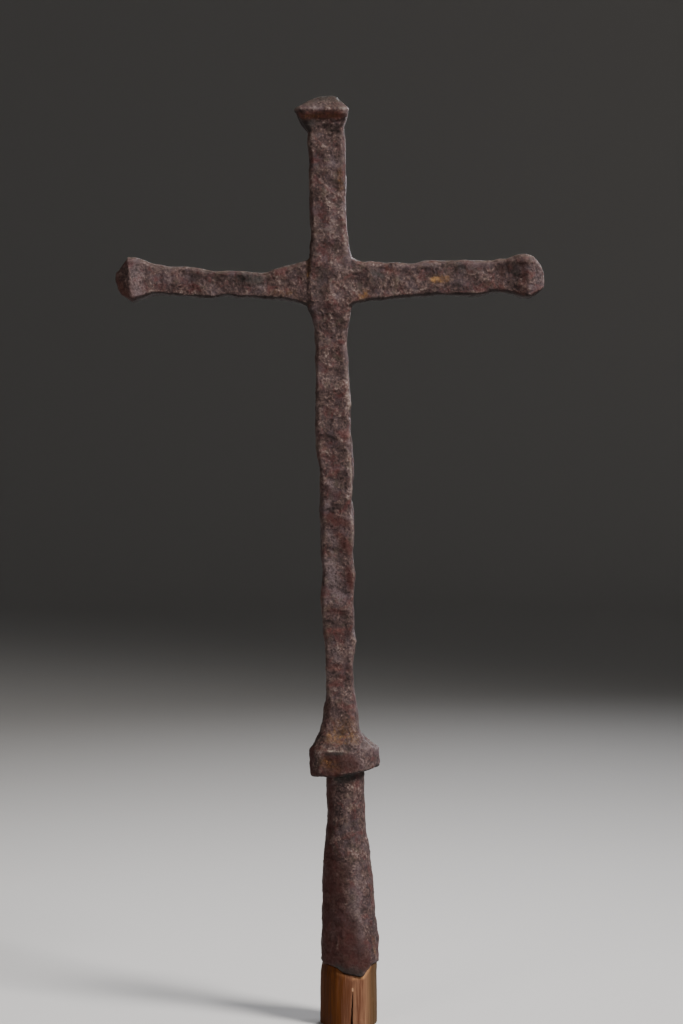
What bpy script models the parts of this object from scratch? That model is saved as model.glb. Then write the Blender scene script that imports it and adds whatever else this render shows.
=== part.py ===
"""A hand-forged iron processional cross whose socket sits on the cut-off top of its wooden pole.

Metres, +Z up, the front faces -Y. The origin is the middle of the pole's flat foot.
The iron is one forging: socket, knop, shaft, arms and three flared heads. The wood is one stub of pole.
"""

import math

import bmesh
import bpy

# Pole: the wooden stub, and the tenon that is shaved on its upper end
POLE_DIAMETER = 0.0384
PLAIN_HEIGHT = 0.0220  # foot of the pole to where the wood starts to narrow
FOOT_CHAMFER = 0.0003
SHOULDER_WEAR = 0.0009  # how much thinner the wood is just under the iron, all round
SHOULDER_WEAR_HEIGHT = 0.0120  # start of the narrowing to the tip of the tongue
CRACK_WIDTH = 0.0013
CRACK_HEIGHT = 0.0200
CRACK_DEPTH = 0.0080
CRACK_X = 0.0021

# Socket: the hollow tapered tube that the tenon goes into
SOCKET_LENGTH = 0.1270
SOCKET_OVERLAP = 0.0005  # how far the mouth stands out from the pole, all round
SOCKET_NECK_DIAMETER = 0.0248
SOCKET_WALL = 0.0024
SOLID_LENGTH = 0.0490  # solid iron between the bore's end and the knop
TONGUE_DROP = 0.0080  # the mouth's edge hangs down in a tongue at the front
MOUTH_UNEVENNESS = 0.0006
FIT_CLEARANCE = 0.0004  # between wood and iron all round
TENON_END_GAP = 0.0020

# Knop: the square collar with its corners cut off, above the socket
KNOP_WIDTH = 0.0447
KNOP_DEPTH = 0.0410
KNOP_HEIGHT = 0.0175
KNOP_CORNER = 0.0074
KNOP_FLAT_ANGLE = math.radians(32)  # a broad flat takes off the front right corner: where it faces
KNOP_FLAT_DISTANCE = 0.0196  # and how far it is from the collar's middle
KNOP_EDGE = 0.0012
KNOP_TILT = 0.0750  # rise of the underside for each metre towards +X
KNOP_LIFT = 0.0020  # the underside's right part is worn up by this much more
KNOP_LIFT_START = 0.0010  # from here, along X from the bar's axis
KNOP_LIFT_RUN = 0.0100
KNOP_TURN = math.radians(-5)  # the collar sits a little askew on the bar
NECK_HEIGHT = 0.0370  # top of the knop to the thinnest part of the shaft

# Shaft: the upright bar, below and above the crossing
SHAFT_WIDTH = 0.0212
SHAFT_DEPTH = 0.0182
LOWER_SHAFT_LENGTH = 0.2730
UPPER_SHAFT_WIDTH = 0.0236
UPPER_SHAFT_DEPTH = 0.0196
UPPER_SHAFT_LENGTH = 0.0988
CROSSING_DEPTH = 0.0205
CROSSING_RIDGE = 0.0020
CROSSING_HALF_HEIGHT = 0.0178  # the arms' roots fill the corners out to here
LEAN = math.radians(1.7)  # the forging leans towards -X above the mouth

# Arms: measured from the upright's axis to the rim of each head
ARM_LENGTH = 0.1320
LEFT_ARM_HEIGHT = 0.0176
LEFT_ARM_DEPTH = 0.0146  # the left arm is drawn out thinner both ways
RIGHT_ARM_HEIGHT = 0.0230
RIGHT_ARM_DEPTH = 0.0184
ARM_ROOT = 0.0040  # the arms start this far from the axis, inside the upright

# Heads: the bar's end spread like a nail's, with a low pyramid on it
TOP_HEAD_WIDTH = 0.0338
TOP_HEAD_DEPTH = 0.0310
TOP_HEAD_FLARE = 0.0147
ARM_HEAD_HEIGHT = 0.0300
LEFT_HEAD_DEPTH = 0.0260
RIGHT_HEAD_DEPTH = 0.0284
ARM_HEAD_FLARE = 0.0190
CAP_HEIGHT = 0.0105

# Free-form values of the hammer work, as shares of the sizes above
CORNER_SHARE = 0.11  # a bar's corner cut, as a share of its width
BAR_SOFTNESS = 0.55  # 0 is a flat cut, 1 a round corner
KNOP_SOFTNESS = 0.20
NECK_ROUNDNESS = 0.25
NECK_THIN_WIDTH_SHARE = 0.84
MOUTH_WAVES = 3
MOUTH_WAVE_START = 1.0
CRACK_TIP_SHARE = 0.08
QUARTER_POINTS = 7
SHARP_ANGLE = math.radians(32)

# Share of the socket's length from its mouth, how far from the neck's to the mouth's diameter,
# and the push to +X as a share of the neck's diameter
SOCKET_TAPER = (
    (0.00, 1.00, 0.000), (0.08, 0.96, 0.008), (0.17, 0.88, 0.016), (0.27, 0.77, 0.016),
    (0.39, 0.65, 0.016), (0.52, 0.52, 0.020), (0.65, 0.29, 0.012), (0.73, 0.12, 0.016),
    (0.80, 0.03, 0.024), (0.90, 0.00, 0.036), (1.00, 0.02, 0.036),
)

# Degrees round the mouth from the front towards +X, and share of the tongue's drop there
TONGUE_CURVE = (
    (-45, 0.00), (-26, 0.25), (-13, 0.66), (0, 0.78), (26, 1.00), (48, 0.00),
)

# Share of the wear's height below the mouth, and share of the wear there
SHOULDER_CURVE = ((0.33, 0.40), (0.00, 1.00))

# Share of the neck's height, how far from the shaft's to the knop's width, push over the shaft's width
NECK_FLARE = (
    (0.03, 0.82, 0.00), (0.13, 0.57, -0.07), (0.26, 0.35, -0.08),
    (0.41, 0.27, -0.07), (0.68, 0.13, -0.05), (0.85, 0.05, -0.03),
)

# Share of the lower shaft's length; width, depth and push to +X over the shaft's width or depth
LOWER_SHAFT = (
    (0.000, 0.84, 0.92, -0.04), (0.045, 0.83, 0.90, -0.04), (0.085, 0.87, 0.96, -0.04),
    (0.125, 0.99, 1.02, 0.01), (0.155, 0.96, 0.97, -0.05), (0.200, 1.03, 1.04, -0.06),
    (0.245, 0.99, 0.97, -0.04), (0.290, 1.00, 1.03, 0.01), (0.345, 0.94, 0.96, -0.02),
    (0.400, 1.01, 1.03, 0.03), (0.440, 1.01, 0.98, 0.01), (0.470, 0.96, 1.02, -0.01),
    (0.530, 1.03, 1.04, 0.04), (0.590, 1.08, 0.99, -0.01), (0.635, 1.05, 1.05, -0.02),
    (0.700, 1.08, 1.00, 0.01), (0.750, 1.03, 1.04, -0.01), (0.800, 1.00, 0.99, -0.01),
    (0.850, 0.96, 1.00, 0.00), (0.890, 1.00, 1.02, 0.01), (0.915, 1.16, 1.05, 0.03),
)

# The same for the upper shaft, measured from the crossing
UPPER_SHAFT = (
    (0.220, 1.10, 1.03, 0.04), (0.275, 1.03, 1.01, 0.04), (0.360, 0.99, 0.98, 0.04),
    (0.450, 1.01, 1.03, 0.02), (0.555, 0.99, 0.98, 0.01), (0.685, 1.02, 1.03, 0.04),
    (0.815, 1.00, 0.98, 0.05), (0.920, 1.01, 1.00, 0.04), (1.000, 0.99, 1.00, 0.03),
)

# Height from the crossing's centre over its half height, width and push to +X over the shaft's width,
# and share of the ridge
CROSSING = (
    (-1.00, 1.37, 0.00, 0.3), (-0.62, 1.45, 0.00, 1.0), (0.00, 1.42, 0.00, 1.0),
    (0.62, 1.41, 0.02, 0.8), (1.00, 1.28, 0.05, 0.3),
)

# Share of the arm's bar from the axis; height, depth and rise of its centre over the bar's height or depth
LEFT_ARM = (
    (0.110, 1.84, 1.16, -0.04), (0.160, 1.56, 1.10, -0.03), (0.200, 1.40, 1.04, -0.03),
    (0.250, 1.30, 1.00, -0.02), (0.305, 1.15, 1.03, -0.07), (0.360, 1.02, 0.97, -0.12),
    (0.450, 0.97, 1.02, -0.11), (0.530, 0.97, 0.98, -0.10), (0.610, 0.93, 1.03, -0.07),
    (0.690, 1.00, 1.00, -0.09), (0.780, 1.05, 0.97, -0.03), (0.840, 1.12, 1.04, 0.02),
    (0.940, 1.07, 0.99, 0.05), (1.000, 1.13, 1.03, 0.09),
)
RIGHT_ARM = (
    (0.110, 1.53, 1.16, 0.01), (0.155, 1.27, 1.10, 0.01), (0.200, 1.11, 1.04, 0.00),
    (0.275, 1.06, 1.00, 0.03), (0.400, 1.02, 1.05, 0.04), (0.495, 0.93, 0.98, 0.04),
    (0.580, 0.99, 1.03, 0.10), (0.690, 1.00, 0.98, 0.11), (0.800, 1.01, 1.02, 0.11),
    (0.880, 1.01, 1.00, 0.11), (0.950, 0.93, 0.98, 0.15), (1.000, 0.94, 1.00, 0.18),
)

# Share of a head's flare, how far the bar has spread there, and the push to +X or up over the rim's size
TOP_FLARE = (
    (0.22, 0.21, -0.012), (0.45, 0.49, -0.030), (0.74, 0.86, -0.047), (1.00, 1.00, -0.053),
)
LEFT_FLARE = (
    (0.22, 0.04, 0.014), (0.45, 0.28, 0.013), (0.74, 0.70, 0.035), (1.00, 1.00, 0.000),
)
RIGHT_FLARE = (
    (0.22, 0.10, 0.000), (0.45, 0.34, 0.000), (0.74, 0.76, -0.012), (1.00, 0.86, -0.022),
)

# Share of a cap's height, and its size and push over the rim's
TOP_CAP = ((0.42, 0.73, -0.011), (0.72, 0.48, 0.032), (0.92, 0.20, 0.067))
LEFT_CAP = ((0.30, 0.78, -0.044), (0.62, 0.56, -0.069), (0.88, 0.40, -0.032), (1.00, 0.17, 0.060))
RIGHT_CAP = ((0.30, 0.84, -0.022), (0.62, 0.70, -0.022), (0.88, 0.49, -0.020), (1.00, 0.26, -0.020))
LEFT_RIM_RAKE = 0.10  # how far the left rim's top stands further out, for each metre of height
RIGHT_RIM_RAKE = -0.04

# Sizes and heights worked out from those above
SOCKET_MOUTH_DIAMETER = POLE_DIAMETER + 2 * SOCKET_OVERLAP
BORE_DEPTH = SOCKET_LENGTH - SOLID_LENGTH
STUB_HEIGHT = PLAIN_HEIGHT + SHOULDER_WEAR_HEIGHT + TONGUE_DROP
KNOP_BOTTOM = STUB_HEIGHT + SOCKET_LENGTH
KNOP_TOP = KNOP_BOTTOM + KNOP_HEIGHT
SHAFT_BOTTOM = KNOP_TOP + NECK_HEIGHT
CROSSING_HEIGHT = SHAFT_BOTTOM + LOWER_SHAFT_LENGTH
TOP_HEAD_BOTTOM = CROSSING_HEIGHT + UPPER_SHAFT_LENGTH
TOP_RIM = TOP_HEAD_BOTTOM + TOP_HEAD_FLARE
CORNER_STEPS = QUARTER_POINTS - 2
RING_POINTS = 4 * QUARTER_POINTS

IRON_COLOUR = (0.095, 0.058, 0.050, 1.0)
WOOD_COLOUR = (0.150, 0.090, 0.055, 1.0)


def mix(start, end, share):
    """The value this share of the way from start to end."""
    return start + (end - start) * share


def read_table(table, share, column):
    """A column's value at this share, on straight lines between the table's rows."""
    for low, high in zip(table, table[1:]):
        if share <= high[0]:
            part_way = max(0.0, (share - low[0]) / (high[0] - low[0]))
            return mix(low[column], high[column], part_way)
    return table[-1][column]


def smooth_step(share):
    """0 to 1 with soft ends."""
    share = min(1.0, max(0.0, share))
    return share * share * (3 - 2 * share)


def section(width, depth, corner, roundness=0.0, ridge=0.0, softness=BAR_SOFTNESS):
    """A section's points: a rectangle with cut corners, drawn towards an ellipse by roundness.

    ridge lifts the middle of the two faces that look along the second axis.
    """
    points = []
    for quarter in range(4):
        a, b = (width / 2, depth / 2) if quarter % 2 == 0 else (depth / 2, width / 2)
        for step in range(QUARTER_POINTS):
            turn = math.pi / 2 * step / QUARTER_POINTS
            if step == 0:
                u, v = a + (ridge if quarter % 2 else 0.0), 0.0
            else:
                along = (step - 1) / CORNER_STEPS
                arc = math.pi / 2 * along
                u = mix(a - corner * along, a - corner + corner * math.cos(arc), softness)
                v = mix(b - corner * (1 - along), b - corner + corner * math.sin(arc), softness)
            u = mix(u, a * math.cos(turn), roundness)
            v = mix(v, b * math.sin(turn), roundness)
            points.append(((u, v), (-v, u), (-u, -v), (v, -u))[quarter])
    return points


def lean_at(height):
    """Where the forging's axis is along X at this height."""
    return -math.tan(LEAN) * max(0.0, height - STUB_HEIGHT)


def mouth_height(index):
    """Height of the socket's ragged edge at a section's point, counted anticlockwise from +X."""
    from_front = 2 * math.pi * index / RING_POINTS + math.pi / 2
    from_front = (from_front + math.pi) % (2 * math.pi) - math.pi
    tongue = read_table(TONGUE_CURVE, math.degrees(from_front), 1)
    uneven = math.sin(MOUTH_WAVES * from_front + MOUTH_WAVE_START) * (1 - tongue)
    return STUB_HEIGHT - TONGUE_DROP * tongue + MOUTH_UNEVENNESS * uneven


def upright_ring(height, width, depth, corner=None, roundness=0.0, shift=0.0, ridge=0.0, tilt=0.0):
    """One level section of the upright, on its leaning axis."""
    corner = CORNER_SHARE * width if corner is None else corner
    x_axis = lean_at(height) + shift
    outline = section(width, depth, corner, roundness, ridge)
    return [(x_axis + x, y, height + tilt * x) for x, y in outline]


def round_ring(height, radius, shift=0.0):
    """A round level section on the leaning axis."""
    return upright_ring(height, 2 * radius, 2 * radius, roundness=1.0, shift=shift)


def mouth_ring(radius, below=0.0):
    """A round section that follows the socket's ragged mouth, this far below it."""
    flat = round_ring(STUB_HEIGHT, radius)
    return [(x, y, mouth_height(i) - below) for i, (x, y, _) in enumerate(flat)]


def arm_ring(side, distance, height, depth, rise=0.0, rake=0.0):
    """One section of an arm, square to X, at a distance from the upright's axis. side is -1 or 1."""
    x_axis = lean_at(CROSSING_HEIGHT) + side * distance
    outline = section(height, depth, CORNER_SHARE * min(height, depth))
    centre = CROSSING_HEIGHT + rise
    return [(x_axis + side * rake * z, y, centre + z) for z, y in outline]


def socket_ring(share, inset=0.0):
    """The socket's round section at a share of its length from the mouth, this far inside its skin."""
    spread = read_table(SOCKET_TAPER, share, 1)
    push = read_table(SOCKET_TAPER, share, 2)
    radius = mix(SOCKET_NECK_DIAMETER, SOCKET_MOUTH_DIAMETER, spread) / 2 - inset
    height = STUB_HEIGHT + share * SOCKET_LENGTH
    return round_ring(height, radius, SOCKET_NECK_DIAMETER * push)


def bore_rings(gap, depth):
    """The bore's sections from its deep end to just inside the mouth, made smaller by gap."""
    deepest = depth / SOCKET_LENGTH
    shares = [deepest] + [row[0] for row in reversed(SOCKET_TAPER) if 0 < row[0] < deepest]
    return [socket_ring(share, SOCKET_WALL + gap) for share in shares]


def socket_rings():
    """The iron from the deep end of its bore, down, round the lip and up to the knop."""
    rings = bore_rings(0.0, BORE_DEPTH)
    mouth = SOCKET_MOUTH_DIAMETER / 2
    rings += [mouth_ring(mouth - SOCKET_WALL), mouth_ring(mouth)]
    rings += [socket_ring(row[0]) for row in SOCKET_TAPER[1:-1]]
    return rings


def turn_ring(ring, x_axis, angle):
    """The ring turned about the forging's axis, seen from above."""
    cos, sin = math.cos(angle), math.sin(angle)
    return [
        (x_axis + (x - x_axis) * cos - y * sin, (x - x_axis) * sin + y * cos, z) for x, y, z in ring
    ]


def file_corner(ring, x_axis):
    """The ring's points brought back to the flat on the knop's front right corner."""
    along_x, along_y = math.sin(KNOP_FLAT_ANGLE), -math.cos(KNOP_FLAT_ANGLE)
    points = []
    for x, y, z in ring:
        beyond = max(0.0, (x - x_axis) * along_x + y * along_y - KNOP_FLAT_DISTANCE)
        points.append((x - beyond * along_x, y - beyond * along_y, z))
    return points


def lift_right(ring, x_axis):
    """The ring with its right part raised, as the knop's worn underside is."""
    return [
        (x, y, z + KNOP_LIFT * smooth_step((x - x_axis - KNOP_LIFT_START) / KNOP_LIFT_RUN))
        for x, y, z in ring
    ]


def knop_rings():
    """The collar, from the top of the socket under it to its upper edge."""
    _, spread, push = SOCKET_TAPER[-1]
    neck = mix(SOCKET_NECK_DIAMETER, SOCKET_MOUTH_DIAMETER, spread)
    shift = SOCKET_NECK_DIAMETER * push

    def collar_ring(height, inset, tilt):
        outline = section(
            KNOP_WIDTH - 2 * inset, KNOP_DEPTH - 2 * inset, KNOP_CORNER, softness=KNOP_SOFTNESS
        )
        x_axis = lean_at(height) + shift
        ring = turn_ring([(x_axis + x, y, height) for x, y in outline], x_axis, KNOP_TURN)
        return file_corner([(x, y, z + tilt * (x - x_axis)) for x, y, z in ring], x_axis)

    underside = [
        upright_ring(KNOP_BOTTOM, neck, neck, roundness=1.0, shift=shift, tilt=KNOP_TILT),
        collar_ring(KNOP_BOTTOM, KNOP_EDGE, KNOP_TILT),
        collar_ring(KNOP_BOTTOM + KNOP_EDGE, 0.0, KNOP_TILT),
    ]
    return [lift_right(ring, lean_at(KNOP_BOTTOM) + shift) for ring in underside] + [
        collar_ring(KNOP_TOP - KNOP_EDGE, 0.0, 0.0),
        collar_ring(KNOP_TOP, KNOP_EDGE, 0.0),
    ]


def neck_rings():
    """The hollow-sided taper from the knop up to the thinnest part of the shaft."""
    thin_width = SHAFT_WIDTH * NECK_THIN_WIDTH_SHARE
    rings = []
    for share, spread, push in NECK_FLARE:
        width = mix(thin_width, KNOP_WIDTH, spread)
        depth = mix(SHAFT_DEPTH, KNOP_DEPTH, spread)
        corner = mix(CORNER_SHARE * thin_width, KNOP_CORNER, spread)
        height = KNOP_TOP + share * NECK_HEIGHT
        shift = SHAFT_WIDTH * push
        ring = upright_ring(height, width, depth, corner, NECK_ROUNDNESS, shift)
        ring = turn_ring(ring, lean_at(height) + shift, KNOP_TURN * spread)
        rings.append(file_corner(ring, lean_at(KNOP_TOP) + shift))
    return rings


def shaft_rings(stations, bottom, length, width, depth):
    """The hammered bar between two heights."""
    return [
        upright_ring(bottom + share * length, width * w, depth * d, shift=width * push)
        for share, w, d, push in stations
    ]


def crossing_rings():
    """The thickened middle, with a blunt ridge down its front and back."""
    return [
        upright_ring(
            CROSSING_HEIGHT + share * CROSSING_HALF_HEIGHT,
            SHAFT_WIDTH * width,
            CROSSING_DEPTH,
            shift=SHAFT_WIDTH * push,
            ridge=CROSSING_RIDGE * ridge,
        )
        for share, width, push, ridge in CROSSING
    ]


def top_head_rings():
    """The upright's spread end and its low pyramid."""
    rings = []
    for share, spread, push in TOP_FLARE:
        width = mix(UPPER_SHAFT_WIDTH, TOP_HEAD_WIDTH, spread)
        depth = mix(UPPER_SHAFT_DEPTH, TOP_HEAD_DEPTH, spread)
        height = TOP_HEAD_BOTTOM + share * TOP_HEAD_FLARE
        rings.append(upright_ring(height, width, depth, shift=TOP_HEAD_WIDTH * push))
    for share, size, push in TOP_CAP:
        height = TOP_RIM + share * CAP_HEIGHT
        width, depth = TOP_HEAD_WIDTH * size, TOP_HEAD_DEPTH * size
        rings.append(upright_ring(height, width, depth, shift=TOP_HEAD_WIDTH * push))
    return rings


def arm_bar_rings(side, stations, bar_height, bar_depth):
    """One arm's bar, from inside the upright to where its head starts."""
    bar = ARM_LENGTH - ARM_HEAD_FLARE
    _, root_h, root_d, root_push = stations[0]
    rings = [arm_ring(side, ARM_ROOT, bar_height * root_h, bar_depth * root_d, bar_height * root_push)]
    rings += [
        arm_ring(side, share * bar, bar_height * h, bar_depth * d, bar_height * push)
        for share, h, d, push in stations
    ]
    return rings


def arm_head_rings(side, end, flare, cap, head_depth, rake):
    """One arm's spread end and its low pyramid. end is the bar's height, depth and rise there."""
    bar_height, bar_depth, bar_rise = end
    rings = []
    for share, spread, push in flare:
        height = mix(bar_height, ARM_HEAD_HEIGHT, spread)
        depth = mix(bar_depth, head_depth, spread)
        distance = ARM_LENGTH - ARM_HEAD_FLARE + share * ARM_HEAD_FLARE
        rise = bar_rise + ARM_HEAD_HEIGHT * push
        rings.append(arm_ring(side, distance, height, depth, rise, rake * spread))
    for share, size, push in cap:
        distance = ARM_LENGTH + share * CAP_HEIGHT
        height, depth = ARM_HEAD_HEIGHT * size, head_depth * size
        rise = bar_rise + ARM_HEAD_HEIGHT * push
        rings.append(arm_ring(side, distance, height, depth, rise, rake))
    return rings


def arm_end(stations, bar_height, bar_depth):
    """The bar's height, depth and rise where its head starts."""
    _, h, d, push = stations[-1]
    return bar_height * h, bar_depth * d, bar_height * push


def pole_rings():
    """The wood from its flat foot up to the shoulder under the iron, then the tenon in the bore."""
    radius = POLE_DIAMETER / 2
    tenon = SOCKET_MOUTH_DIAMETER / 2 - SOCKET_WALL - FIT_CLEARANCE
    rings = [
        round_ring(0.0, radius - FOOT_CHAMFER),
        round_ring(FOOT_CHAMFER, radius),
        round_ring(PLAIN_HEIGHT, radius),
    ]
    for share, worn in SHOULDER_CURVE:
        below = FIT_CLEARANCE + share * SHOULDER_WEAR_HEIGHT
        rings.append(mouth_ring(radius - worn * SHOULDER_WEAR, below))
    rings.append(mouth_ring(tenon, FIT_CLEARANCE))
    inside = bore_rings(FIT_CLEARANCE, BORE_DEPTH - TENON_END_GAP)
    return rings + list(reversed(inside))


def loft(name, rings, collection):
    """A closed skin over the rings, with a flat face on each end, facing out."""
    skin = bmesh.new()
    rows = [[skin.verts.new(point) for point in ring] for ring in rings]
    for low, high in zip(rows, rows[1:]):
        for i in range(RING_POINTS):
            j = (i + 1) % RING_POINTS
            skin.faces.new((low[i], low[j], high[j], high[i]))
    skin.faces.new(list(reversed(rows[0])))
    skin.faces.new(rows[-1])
    bmesh.ops.triangulate(skin, faces=skin.faces, quad_method="SHORT_EDGE")
    bmesh.ops.recalc_face_normals(skin, faces=skin.faces)
    mesh = bpy.data.meshes.new(name)
    skin.to_mesh(mesh)
    skin.free()
    mesh.shade_smooth()
    mesh.set_sharp_from_angle(angle=SHARP_ANGLE)
    piece = bpy.data.objects.new(name, mesh)
    collection.objects.link(piece)
    return piece


def crack_wedge(collection):
    """A wedge for the drying crack: widest at the foot, closing to a line at its top."""
    radius = POLE_DIAMETER / 2
    beyond = FOOT_CHAMFER
    wedge = bmesh.new()
    bmesh.ops.create_cube(wedge, size=1.0)
    for vertex in wedge.verts:
        top = vertex.co.z > 0
        side = math.copysign(CRACK_WIDTH / 2, vertex.co.x)
        vertex.co.x = CRACK_X + side * (CRACK_TIP_SHARE if top else 1.0)
        vertex.co.y = -radius - beyond if vertex.co.y < 0 else -radius + CRACK_DEPTH
        vertex.co.z = CRACK_HEIGHT if top else -beyond
    mesh = bpy.data.meshes.new("drying_crack")
    wedge.to_mesh(mesh)
    wedge.free()
    cutter = bpy.data.objects.new("drying_crack", mesh)
    collection.objects.link(cutter)
    return cutter


def combine(piece, tool, operation):
    """Joins tool to piece, or cuts it away, and keeps tool as a guide that isn't rendered."""
    tool.hide_render = True
    tool.display_type = "WIRE"
    change = piece.modifiers.new(tool.name, "BOOLEAN")
    change.operation = operation
    change.solver = "EXACT"
    change.object = tool


def finish_in(piece, colour, roughness, metallic):
    """Gives the piece its own plain material."""
    material = bpy.data.materials.new(piece.name + "_finish")
    material.use_nodes = True
    shader = material.node_tree.nodes["Principled BSDF"]
    shader.inputs["Base Color"].default_value = colour
    shader.inputs["Roughness"].default_value = roughness
    shader.inputs["Metallic"].default_value = metallic
    piece.data.materials.append(material)


def new_collection(name):
    collection = bpy.data.collections.new(name)
    bpy.context.scene.collection.children.link(collection)
    return collection


def main():
    for old in list(bpy.data.objects):
        bpy.data.objects.remove(old, do_unlink=True)
    parts = new_collection("processional_cross")
    guides = new_collection("cutters")

    upright = socket_rings() + knop_rings() + neck_rings()
    upright += shaft_rings(LOWER_SHAFT, SHAFT_BOTTOM, LOWER_SHAFT_LENGTH, SHAFT_WIDTH, SHAFT_DEPTH)
    upright += crossing_rings()
    upright += shaft_rings(
        UPPER_SHAFT, CROSSING_HEIGHT, UPPER_SHAFT_LENGTH, UPPER_SHAFT_WIDTH, UPPER_SHAFT_DEPTH
    )
    upright += top_head_rings()
    iron = loft("iron_cross", upright, parts)
    end = arm_end(LEFT_ARM, LEFT_ARM_HEIGHT, LEFT_ARM_DEPTH)
    left = arm_bar_rings(-1, LEFT_ARM, LEFT_ARM_HEIGHT, LEFT_ARM_DEPTH)
    left += arm_head_rings(-1, end, LEFT_FLARE, LEFT_CAP, LEFT_HEAD_DEPTH, LEFT_RIM_RAKE)
    end = arm_end(RIGHT_ARM, RIGHT_ARM_HEIGHT, RIGHT_ARM_DEPTH)
    right = arm_bar_rings(1, RIGHT_ARM, RIGHT_ARM_HEIGHT, RIGHT_ARM_DEPTH)
    right += arm_head_rings(1, end, RIGHT_FLARE, RIGHT_CAP, RIGHT_HEAD_DEPTH, RIGHT_RIM_RAKE)
    combine(iron, loft("left_arm", left, guides), "UNION")
    combine(iron, loft("right_arm", right, guides), "UNION")
    finish_in(iron, IRON_COLOUR, roughness=0.78, metallic=0.25)

    wood = loft("pole_stub", pole_rings(), parts)
    combine(wood, crack_wedge(guides), "DIFFERENCE")
    finish_in(wood, WOOD_COLOUR, roughness=0.72, metallic=0.0)

    stand = bpy.data.objects.new("foot_centre", None)
    parts.objects.link(stand)
    for piece in (iron, wood):
        piece.parent = stand


main()
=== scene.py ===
import math

import bmesh
import bpy
import numpy as np
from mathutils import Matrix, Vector


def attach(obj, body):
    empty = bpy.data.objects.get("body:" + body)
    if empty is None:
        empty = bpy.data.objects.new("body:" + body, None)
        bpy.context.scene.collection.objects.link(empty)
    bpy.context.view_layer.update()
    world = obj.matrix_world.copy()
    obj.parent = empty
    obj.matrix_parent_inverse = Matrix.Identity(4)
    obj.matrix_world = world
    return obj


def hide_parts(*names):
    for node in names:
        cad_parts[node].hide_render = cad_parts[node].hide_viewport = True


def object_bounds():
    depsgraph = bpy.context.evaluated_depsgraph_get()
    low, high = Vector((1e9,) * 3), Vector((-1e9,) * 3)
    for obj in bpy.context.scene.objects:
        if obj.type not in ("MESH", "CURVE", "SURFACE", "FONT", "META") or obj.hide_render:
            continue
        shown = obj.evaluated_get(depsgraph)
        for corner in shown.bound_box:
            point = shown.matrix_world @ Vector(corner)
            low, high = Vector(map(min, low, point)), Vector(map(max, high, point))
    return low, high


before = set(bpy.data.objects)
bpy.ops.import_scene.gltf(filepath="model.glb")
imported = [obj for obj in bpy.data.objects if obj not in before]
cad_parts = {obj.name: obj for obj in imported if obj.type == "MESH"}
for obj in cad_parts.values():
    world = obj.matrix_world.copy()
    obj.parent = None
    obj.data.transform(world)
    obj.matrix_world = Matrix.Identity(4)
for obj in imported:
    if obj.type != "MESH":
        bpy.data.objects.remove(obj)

cadLow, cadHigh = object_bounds()
mm = 0.001
scene = bpy.context.scene


def hexColour(text):
    # sRGB hex to the linear values that Blender's sockets take
    parts = [int(text[i:i + 2], 16) / 255 for i in (1, 3, 5)]
    return (*[c / 12.92 if c <= 0.04045 else ((c + 0.055) / 1.055) ** 2.4 for c in parts], 1.0)


def addNode(tree, kind, inputs=None, out=0, **settings):
    # adds one node with its settings and links, and gives back one of its outputs
    node = tree.nodes.new(kind)
    for key, value in settings.items():
        setattr(node, key, value)
    for key, value in (inputs or {}).items():
        if isinstance(value, bpy.types.NodeSocket):
            tree.links.new(value, node.inputs[key])
        else:
            node.inputs[key].default_value = value
    return node.outputs[out] if node.outputs else None


def setRamp(ramp, stops):
    while len(ramp.elements) < len(stops):
        ramp.elements.new(0.5)
    for element, (place, colour) in zip(ramp.elements, stops):
        element.position = place
        element.color = hexColour(colour)


def newGeometryTree(name, sizes):
    # a tree that takes a mesh, these named sizes and a finish
    tree = bpy.data.node_groups.new(name, "GeometryNodeTree")
    tree.interface.new_socket("Mesh", in_out="INPUT", socket_type="NodeSocketGeometry")
    tree.interface.new_socket("Mesh", in_out="OUTPUT", socket_type="NodeSocketGeometry")
    for key in sizes:
        tree.interface.new_socket(key, in_out="INPUT", socket_type="NodeSocketFloat")
    tree.interface.new_socket("finish", in_out="INPUT", socket_type="NodeSocketMaterial")
    return tree, tree.nodes.new("NodeGroupInput").outputs


def addTree(piece, tree, values):
    # the tree as a modifier, each input set by its socket's identifier
    change = piece.modifiers.new(tree.name, "NODES")
    change.node_group = tree
    for item in tree.interface.items_tree:
        if item.in_out == "INPUT" and item.name in values:
            change[item.identifier] = values[item.name]


def applyAll(piece):
    # the evaluated piece as a plain mesh with no modifiers left
    graph = bpy.context.evaluated_depsgraph_get()
    mesh = bpy.data.meshes.new_from_object(piece.evaluated_get(graph), depsgraph=graph)
    old = piece.data
    piece.modifiers.clear()
    piece.data = mesh
    mesh.name = piece.name
    bpy.data.meshes.remove(old)
    return mesh


def thinTo(piece, triangles):
    # brings the mesh down to about this many triangles
    now = sum(len(p.vertices) - 2 for p in piece.data.polygons)
    thin = piece.modifiers.new("thin", "DECIMATE")
    thin.ratio = min(1.0, triangles / now)
    return applyAll(piece)


def denseCopy(node, name, voxel, rounds):
    # a fine even skin over a copy of the CAD solid, so that the relief has points to move
    source = bmesh.new()
    source.from_mesh(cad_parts[node].data)
    bmesh.ops.remove_doubles(source, verts=source.verts, dist=0.002 * mm)
    mesh = bpy.data.meshes.new(name)
    source.to_mesh(mesh)
    source.free()
    mesh.materials.clear()
    piece = bpy.data.objects.new(name, mesh)
    scene.collection.objects.link(piece)
    skin = piece.modifiers.new("skin", "REMESH")
    skin.mode = "VOXEL"
    skin.voxel_size = voxel
    soften = piece.modifiers.new("soften", "SMOOTH")
    soften.factor = 0.5
    soften.iterations = rounds
    applyAll(piece)
    return piece


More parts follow.
